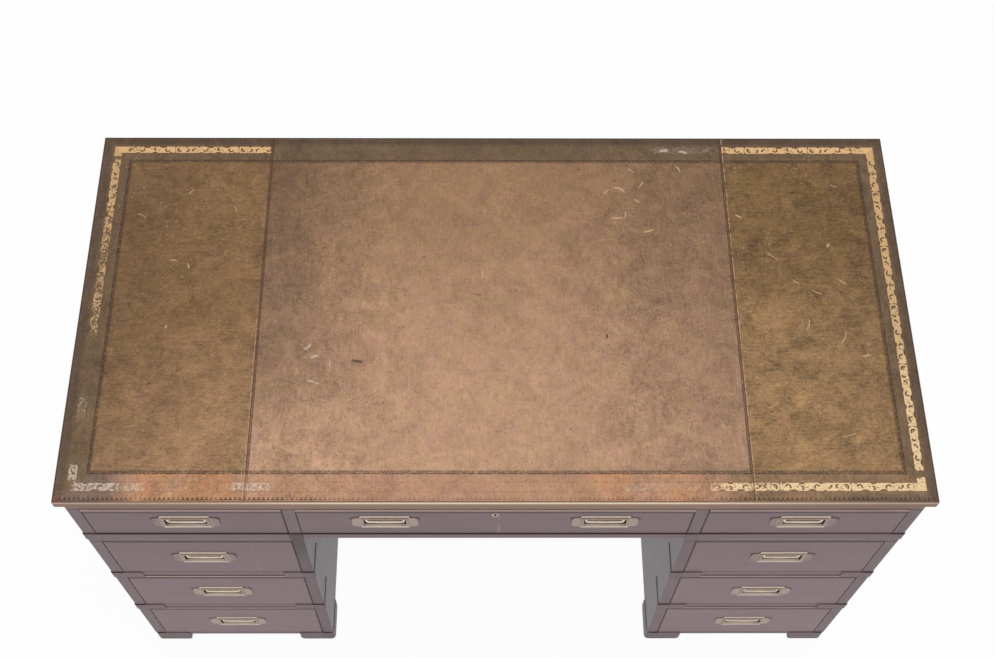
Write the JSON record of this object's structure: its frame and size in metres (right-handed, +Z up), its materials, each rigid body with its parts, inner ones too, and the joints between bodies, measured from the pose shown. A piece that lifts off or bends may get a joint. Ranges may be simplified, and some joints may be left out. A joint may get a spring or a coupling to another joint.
{
  "type": "campaign desk",
  "caption": "Twin-pedestal writing desk with a leather-lined top, frieze drawers over stacked single-drawer cases on bracket feet, and recessed brass handles.",
  "frame": {"origin": "centre of the footprint of the top, on the floor", "axes": "+Z up, +X along the desk to the sitter's right, the drawers open towards -Y"},
  "size_m": [1.372, 0.684, 0.807],
  "materials": {
    "top_wood": "worn polished mahogany with a rubbed pale arris",
    "case_wood": "faded dark mahogany, waxed, greyed by wear",
    "front_wood": "faded mahogany drawer fronts, waxed",
    "inner_wood": "unpolished pine",
    "lining_wood": "unpolished mahogany and oak linings",
    "leather_side": "worn olive-brown skiver with gilt tooling",
    "leather_center": "worn tan-brown skiver, rubbed and scratched",
    "brass": "cast brass, softly tarnished"
  },
  "bodies": {
    "desk_frame": {"top_board": "top_wood", "leather_left": "leather_side", "leather_center": "leather_center", "leather_right": "leather_side", "frieze_sides": "case_wood", "frieze_dividers": "case_wood", "frieze_top_rail": "case_wood", "frieze_back": "case_wood", "frieze_aprons": "case_wood", "frieze_bracket_feet": "case_wood", "frieze_dust_boards": "inner_wood", "left_case_1": "case_wood", "left_case_2": "case_wood", "left_case_3": "case_wood", "left_bracket_feet": "case_wood", "right_case_1": "case_wood", "right_case_2": "case_wood", "right_case_3": "case_wood", "right_bracket_feet": "case_wood", "drawer_stops": "inner_wood"},
    "left_frieze_drawer": {"left_frieze_drawer_front": "front_wood", "left_frieze_drawer_box": "lining_wood", "left_frieze_drawer_handle_plate": "brass"},
    "left_frieze_drawer_bail": {"left_frieze_drawer_bail": "brass"},
    "left_drawer_1": {"left_drawer_1_front": "front_wood", "left_drawer_1_box": "lining_wood", "left_drawer_1_handle_plate": "brass"},
    "left_drawer_1_bail": {"left_drawer_1_bail": "brass"},
    "left_drawer_2": {"left_drawer_2_front": "front_wood", "left_drawer_2_box": "lining_wood", "left_drawer_2_handle_plate": "brass"},
    "left_drawer_2_bail": {"left_drawer_2_bail": "brass"},
    "left_drawer_3": {"left_drawer_3_front": "front_wood", "left_drawer_3_box": "lining_wood", "left_drawer_3_handle_plate": "brass"},
    "left_drawer_3_bail": {"left_drawer_3_bail": "brass"},
    "right_frieze_drawer": {"right_frieze_drawer_front": "front_wood", "right_frieze_drawer_box": "lining_wood", "right_frieze_drawer_handle_plate": "brass"},
    "right_frieze_drawer_bail": {"right_frieze_drawer_bail": "brass"},
    "right_drawer_1": {"right_drawer_1_front": "front_wood", "right_drawer_1_box": "lining_wood", "right_drawer_1_handle_plate": "brass"},
    "right_drawer_1_bail": {"right_drawer_1_bail": "brass"},
    "right_drawer_2": {"right_drawer_2_front": "front_wood", "right_drawer_2_box": "lining_wood", "right_drawer_2_handle_plate": "brass"},
    "right_drawer_2_bail": {"right_drawer_2_bail": "brass"},
    "right_drawer_3": {"right_drawer_3_front": "front_wood", "right_drawer_3_box": "lining_wood", "right_drawer_3_handle_plate": "brass"},
    "right_drawer_3_bail": {"right_drawer_3_bail": "brass"},
    "center_drawer": {"center_drawer_front": "front_wood", "center_drawer_box": "lining_wood", "center_drawer_handle_plate": "brass", "lock_escutcheon": "brass", "lock_case": "brass"},
    "center_drawer_left_bail": {"center_drawer_left_bail": "brass"},
    "center_drawer_right_bail": {"center_drawer_right_bail": "brass"},
    "lock_bolt": {"lock_bolt": "brass"}
  },
  "joints": [
    {"name": "left_frieze_drawer_slide", "type": "slide", "parent": "desk_frame", "child": "left_frieze_drawer", "axis": [0, -1, 0], "range_m": [0, 0.45]},
    {"name": "left_frieze_drawer_bail_pivot", "type": "hinge", "parent": "left_frieze_drawer", "child": "left_frieze_drawer_bail", "pos_m": [-0.498, -0.3315, 0.7055], "axis": [-1, 0, 0], "range_deg": [-20, 85]},
    {"name": "left_drawer_1_slide", "type": "slide", "parent": "desk_frame", "child": "left_drawer_1", "axis": [0, -1, 0], "range_m": [0, 0.45]},
    {"name": "left_drawer_1_bail_pivot", "type": "hinge", "parent": "left_drawer_1", "child": "left_drawer_1_bail", "pos_m": [-0.498, -0.3315, 0.527], "axis": [-1, 0, 0], "range_deg": [-20, 85]},
    {"name": "left_drawer_2_slide", "type": "slide", "parent": "desk_frame", "child": "left_drawer_2", "axis": [0, -1, 0], "range_m": [0, 0.45]},
    {"name": "left_drawer_2_bail_pivot", "type": "hinge", "parent": "left_drawer_2", "child": "left_drawer_2_bail", "pos_m": [-0.498, -0.3315, 0.33], "axis": [-1, 0, 0], "range_deg": [-20, 85]},
    {"name": "left_drawer_3_slide", "type": "slide", "parent": "desk_frame", "child": "left_drawer_3", "axis": [0, -1, 0], "range_m": [0, 0.45]},
    {"name": "left_drawer_3_bail_pivot", "type": "hinge", "parent": "left_drawer_3", "child": "left_drawer_3_bail", "pos_m": [-0.498, -0.3315, 0.133], "axis": [-1, 0, 0], "range_deg": [-20, 85]},
    {"name": "right_frieze_drawer_slide", "type": "slide", "parent": "desk_frame", "child": "right_frieze_drawer", "axis": [0, -1, 0], "range_m": [0, 0.45]},
    {"name": "right_frieze_drawer_bail_pivot", "type": "hinge", "parent": "right_frieze_drawer", "child": "right_frieze_drawer_bail", "pos_m": [0.498, -0.3315, 0.7055], "axis": [-1, 0, 0], "range_deg": [-20, 85]},
    {"name": "right_drawer_1_slide", "type": "slide", "parent": "desk_frame", "child": "right_drawer_1", "axis": [0, -1, 0], "range_m": [0, 0.45]},
    {"name": "right_drawer_1_bail_pivot", "type": "hinge", "parent": "right_drawer_1", "child": "right_drawer_1_bail", "pos_m": [0.498, -0.3315, 0.527], "axis": [-1, 0, 0], "range_deg": [-20, 85]},
    {"name": "right_drawer_2_slide", "type": "slide", "parent": "desk_frame", "child": "right_drawer_2", "axis": [0, -1, 0], "range_m": [0, 0.45]},
    {"name": "right_drawer_2_bail_pivot", "type": "hinge", "parent": "right_drawer_2", "child": "right_drawer_2_bail", "pos_m": [0.498, -0.3315, 0.33], "axis": [-1, 0, 0], "range_deg": [-20, 85]},
    {"name": "right_drawer_3_slide", "type": "slide", "parent": "desk_frame", "child": "right_drawer_3", "axis": [0, -1, 0], "range_m": [0, 0.45]},
    {"name": "right_drawer_3_bail_pivot", "type": "hinge", "parent": "right_drawer_3", "child": "right_drawer_3_bail", "pos_m": [0.498, -0.3315, 0.133], "axis": [-1, 0, 0], "range_deg": [-20, 85]},
    {"name": "center_drawer_slide", "type": "slide", "parent": "desk_frame", "child": "center_drawer", "axis": [0, -1, 0], "range_m": [0, 0.45]},
    {"name": "center_drawer_left_bail_pivot", "type": "hinge", "parent": "center_drawer", "child": "center_drawer_left_bail", "pos_m": [-0.1775, -0.3315, 0.7055], "axis": [-1, 0, 0], "range_deg": [-20, 85]},
    {"name": "center_drawer_right_bail_pivot", "type": "hinge", "parent": "center_drawer", "child": "center_drawer_right_bail", "pos_m": [0.1775, -0.3315, 0.7055], "axis": [-1, 0, 0], "range_deg": [-20, 85]},
    {"name": "lock_bolt_slide", "type": "slide", "parent": "center_drawer", "child": "lock_bolt", "axis": [0, 0, 1], "range_m": [0, 0.007]}
  ]
}
